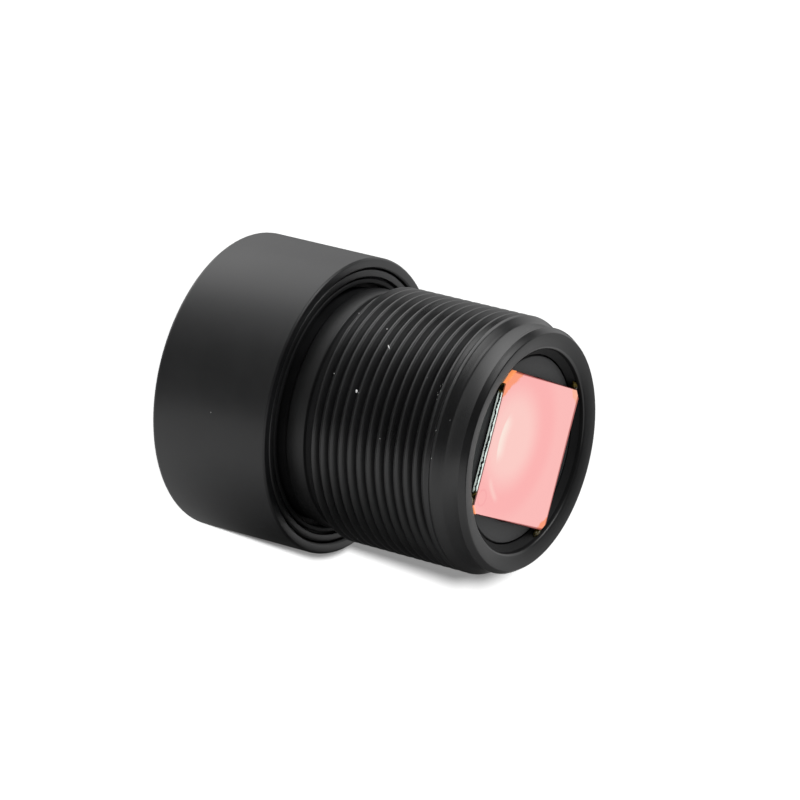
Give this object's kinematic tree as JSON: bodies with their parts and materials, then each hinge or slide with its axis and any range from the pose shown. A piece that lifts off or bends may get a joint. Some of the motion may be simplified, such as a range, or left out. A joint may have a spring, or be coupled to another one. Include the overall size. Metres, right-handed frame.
{
  "type": "fpv camera lens",
  "caption": "Wide-angle board-camera lens: threaded M12 barrel with a wide head sleeve, glass elements inside and a square pink infrared filter glued in its rear end.",
  "frame": {"origin": "centre of the front rim's face, which the lens stands on", "axes": "+Z along the optical axis from the front glass to the rear end; X and Y parallel to the sides of the square filter"},
  "size_m": [0.014, 0.014, 0.0161],
  "materials": {
    "anodised_sleeve": "satin black anodised, fine turned",
    "anodised_barrel": "satin black anodised, turned thread",
    "anodised_retainer": "matt black anodised",
    "seal_rubber": "matt",
    "black_spacer": "matt black anodised",
    "stop_film": "matt black film",
    "optical_glass": "polished and coated",
    "filter_glass": "polished, pink infrared-cut coating",
    "amber_glue": "cured clear amber adhesive"
  },
  "bodies": {
    "root": {"head_sleeve": "anodised_sleeve", "barrel": "anodised_barrel", "front_seal": "seal_rubber", "front_lens": "optical_glass", "front_spacer": "black_spacer", "second_lens": "optical_glass", "second_spacer": "black_spacer", "third_lens": "optical_glass", "aperture_stop": "stop_film", "stop_spacer": "black_spacer", "doublet_crown": "optical_glass", "doublet_flint": "optical_glass", "rear_spacer": "black_spacer", "rear_lens": "optical_glass", "rear_retainer": "anodised_retainer", "ir_filter": "filter_glass", "glue_spot_1": "amber_glue", "glue_spot_2": "amber_glue", "glue_spot_3": "amber_glue", "glue_spot_4": "amber_glue"}
  },
  "joints": []
}
